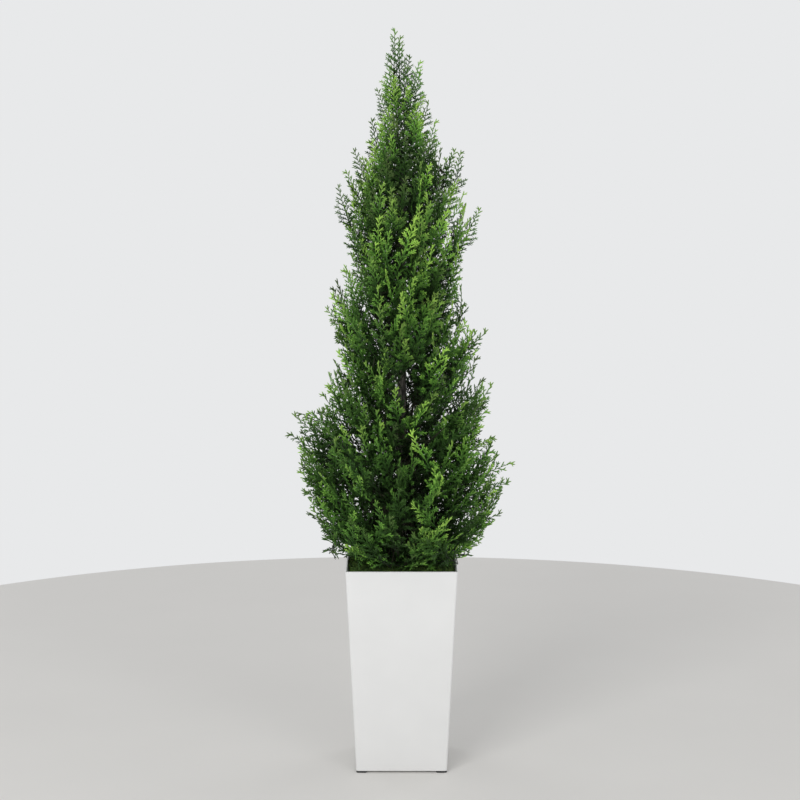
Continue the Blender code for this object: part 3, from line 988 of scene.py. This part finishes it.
class CEDAR_OT_boughs(bpy.types.Operator):
    """Makes every bough and the leader: wrapped wires and the sprays on them"""
    bl_idname = "cedar.boughs"
    bl_label = "Boughs"

    def execute(self, context):
        settings = context.scene.cedar_sprays
        wood = context.scene.cedar_wood
        boughs = [Bough(joint) for joint in frame["joints"] if joint["type"] == "hinge"]
        skirt = plan_sprays(settings, boughs)
        shape = leaflet(settings)
        twigs = {
            joints: [side_twig(settings, shape, joints, seed) for seed in range(TWIG_KINDS)]
            for joints in range(1, LONGEST_TWIG + 1)
        }
        kinds = [spray(settings, twigs, seed) for seed in range(SPRAY_KINDS)]
        green, wrap = spray_plastic(settings), wire_wrap(wood)
        for number, bough in enumerate(boughs):
            wires = bmesh.new()
            add_stem(wires, bough, wood)
            for base, heading, *_ in bough.sprays:
                share = bough.nearest(base)[1]
                add_side_wire(wires, bough.point(share), base, heading, wood)
            sprays = joined_sprays(bough.sprays, kinds, settings, 100 + number)
            as_piece(
                bough.body + "_sprays", to_mesh(sprays, bough.body + "_sprays"), [green],
                bough.body, [bough.body + "_foliage"],
            )
            as_piece(
                bough.body + "_wire", to_mesh(wires, bough.body + "_wire"), [wrap],
                bough.body, [bough.body + "_stem"],
            )
        wires = bmesh.new()
        for base, heading, *_ in skirt:
            foot = Vector((base.x, base.y, 0)).normalized() * BARK_HIGH.x * 0.6
            foot.z = min(base.z, max(RIM + 4 * MM, base.z - 20 * MM))
            add_side_wire(wires, foot, base, heading, wood)
        sprays = joined_sprays(skirt, kinds, settings, 90)
        as_piece("skirt_sprays", to_mesh(sprays, "skirt_sprays"), [green], "tree")
        as_piece("skirt_wire", to_mesh(wires, "skirt_wire"), [wrap], "tree")
        return {"FINISHED"}


def joined_sprays(planned, kinds, settings, seed):
    """One bmesh of all the planned sprays, each in its place with its own age and its green,
    painted light and painted shade.
    """
    rng = random.Random(seed)
    bm = bmesh.new()
    for base, heading, long, age, greenness_light_and_shade, roll in planned:
        copy = painted_copy(*rng.choice(kinds), age, greenness_light_and_shade)
        # its flat side or its edge faces outwards, more or less, and it bends upwards
        across = UP.cross(Vector((base.x, base.y, 0)) + heading * 20 * MM)
        if roll is None:
            roll = rng.choice((0, math.pi / 2)) + rng.gauss(0, 0.4)
        elif heading.z > 0.8:
            across, roll = Vector((1, 0, 0)), 0
        matrix = facing(heading, across) @ Matrix.Rotation(roll, 4, "X")
        if matrix.col[2].to_3d().dot(UP) < 0:
            matrix = matrix @ Matrix.Rotation(math.pi, 4, "X")
        # a short spray is narrower too, but by less
        share = long / settings.spray_length
        width = (1.1 + share) / 2
        size = Matrix.Diagonal((share, width, width, 1))
        copy.transform(Matrix.Translation(base) @ matrix @ size)
        bm.from_mesh(copy)
        bpy.data.meshes.remove(copy)
    return bm


def add_stem(bm, bough, wood):
    """The bough's main wire with the knuckle at its root."""
    shares = [WIRE_END * index / 10 for index in range(11)]
    radii = [wood.wire_radius * between(1, 0.6, index / 10) for index in range(11)]
    tube(bm, [bough.point(share) for share in shares], radii, 8)
    matrix = Matrix.Translation(bough.root)
    bmesh.ops.create_icosphere(bm, subdivisions=2, radius=wood.wire_radius * 1.7, matrix=matrix)


def add_side_wire(bm, start, base, heading, wood):
    """A thin wire from the bough's stem, or from the trunk, to the foot of a spray."""
    distance = (start - base).length
    if distance < 2 * MM:
        return
    middle = between(start, base, 0.55) - heading * distance * 0.15
    tube(bm, [start, middle, base, base + heading * 6 * MM], [wood.twig_radius] * 4, 5)


# ---------------------------------------------------------------- stage

LIGHT_WIDTH = 2.0


class CEDAR_OT_stage(bpy.types.Operator):
    """Makes the pale floor, the soft lights and the camera"""
    bl_idname = "cedar.stage"
    bl_label = "Stage"

    def execute(self, context):
        settings = context.scene.cedar_stage
        make_floor(settings)
        make_lights()
        make_camera(settings)
        return {"FINISHED"}


def make_floor(settings):
    """A round floor on which the object stands before the even pale surround."""
    bm = bmesh.new()
    bmesh.ops.create_circle(bm, cap_ends=True, segments=160, radius=settings.floor_radius)
    finish, tree, shader = new_material("matte_painted_floor", Roughness=0.7)
    cells = noise_of(tree, 0.3)
    tint = ramp(tree, cells, [
        (0.3, between_colours(settings.floor, BLACK, 0.02)), (0.7, tuple(settings.floor)),
    ])
    tree.links.new(tint, shader.inputs["Base Color"])
    floor = bpy.data.objects.new("stage_floor", to_mesh(bm, "stage_floor", smooth=False))
    floor.data.materials.append(finish)
    bpy.context.scene.collection.objects.link(floor)


def area_light(name, location, aim, power):
    """A wide square soft light that faces a point."""
    data = bpy.data.lights.new(name, "AREA")
    data.shape = "SQUARE"
    data.size = LIGHT_WIDTH
    data.energy = power
    light = bpy.data.objects.new(name, data)
    light.location = location
    light.rotation_euler = (Vector(aim) - Vector(location)).to_track_quat("-Z", "Y").to_euler()
    bpy.context.scene.collection.objects.link(light)


def make_lights():
    """A soft key to the front left, a fill, two faint lights behind and an even pale surround."""
    area_light("key", (-1.8, -4.0, 2.6), (0, 0, 0.85), 92)
    area_light("fill", (2.2, -3.8, 1.8), (0, 0, 0.7), 32)
    area_light("back_left", (-2.6, 3.0, 2.6), (0, 0, 0.7), 16)
    area_light("back_right", (2.6, 3.0, 2.6), (0, 0, 0.7), 16)
    world = bpy.data.worlds.new("studio")
    bpy.context.scene.world = world
    world.use_nodes = True
    tree = world.node_tree
    place = add_node(tree, "ShaderNodeTexCoord")
    height = add_node(tree, "ShaderNodeSeparateXYZ", links={"Vector": place.outputs["Generated"]})
    glow = ramp(tree, height.outputs["Z"], [
        (0.0, linear("#E8E9EA")), (0.3, linear("#D2D3D5")), (1.0, linear("#C2C3C5")),
    ])
    tree.links.new(glow, tree.nodes["Background"].inputs["Color"])


def make_camera(settings):
    """The camera, a little above the tree's top and tipped down."""
    data = bpy.data.cameras.new("camera")
    data.lens = settings.focal_length
    camera = bpy.data.objects.new("camera", data)
    camera.location = (-settings.camera_side, -settings.camera_distance, settings.camera_height)
    camera.rotation_euler = (math.pi / 2 - settings.camera_pitch, 0, 0)
    bpy.context.scene.collection.objects.link(camera)
    bpy.context.scene.camera = camera
    bpy.context.scene.view_settings.view_transform = "Standard"


# ---------------------------------------------------------------- panel and main

OPERATORS = (
    CEDAR_OT_planter, CEDAR_OT_inside, CEDAR_OT_moss,
    CEDAR_OT_trunk, CEDAR_OT_boughs, CEDAR_OT_stage,
)


class CEDAR_PT_panel(bpy.types.Panel):
    """Lists the pieces of the cedar"""
    bl_label = "Artificial Cedar"
    bl_idname = "CEDAR_PT_panel"
    bl_space_type = "VIEW_3D"
    bl_region_type = "UI"
    bl_category = "Cedar"

    def draw(self, context):
        for operator in OPERATORS:
            self.layout.operator(operator.bl_idname)
        for name, group in SETTINGS.items():
            box = self.layout.box()
            for key in group.__annotations__:
                box.prop(getattr(context.scene, name), key)


CLASSES = (*SETTINGS.values(), *OPERATORS, CEDAR_PT_panel)


def register():
    for cls in CLASSES:
        bpy.utils.register_class(cls)
    for name, group in SETTINGS.items():
        setattr(bpy.types.Scene, name, PointerProperty(type=group))


def unregister():
    for name in SETTINGS:
        delattr(bpy.types.Scene, name)
    for cls in reversed(CLASSES):
        bpy.utils.unregister_class(cls)


def main():
    register()
    bpy.ops.cedar.planter()
    bpy.ops.cedar.inside()
    bpy.ops.cedar.moss()
    bpy.ops.cedar.trunk()
    bpy.ops.cedar.boughs()
    bpy.ops.cedar.stage()


if __name__ == "__main__":
    main()
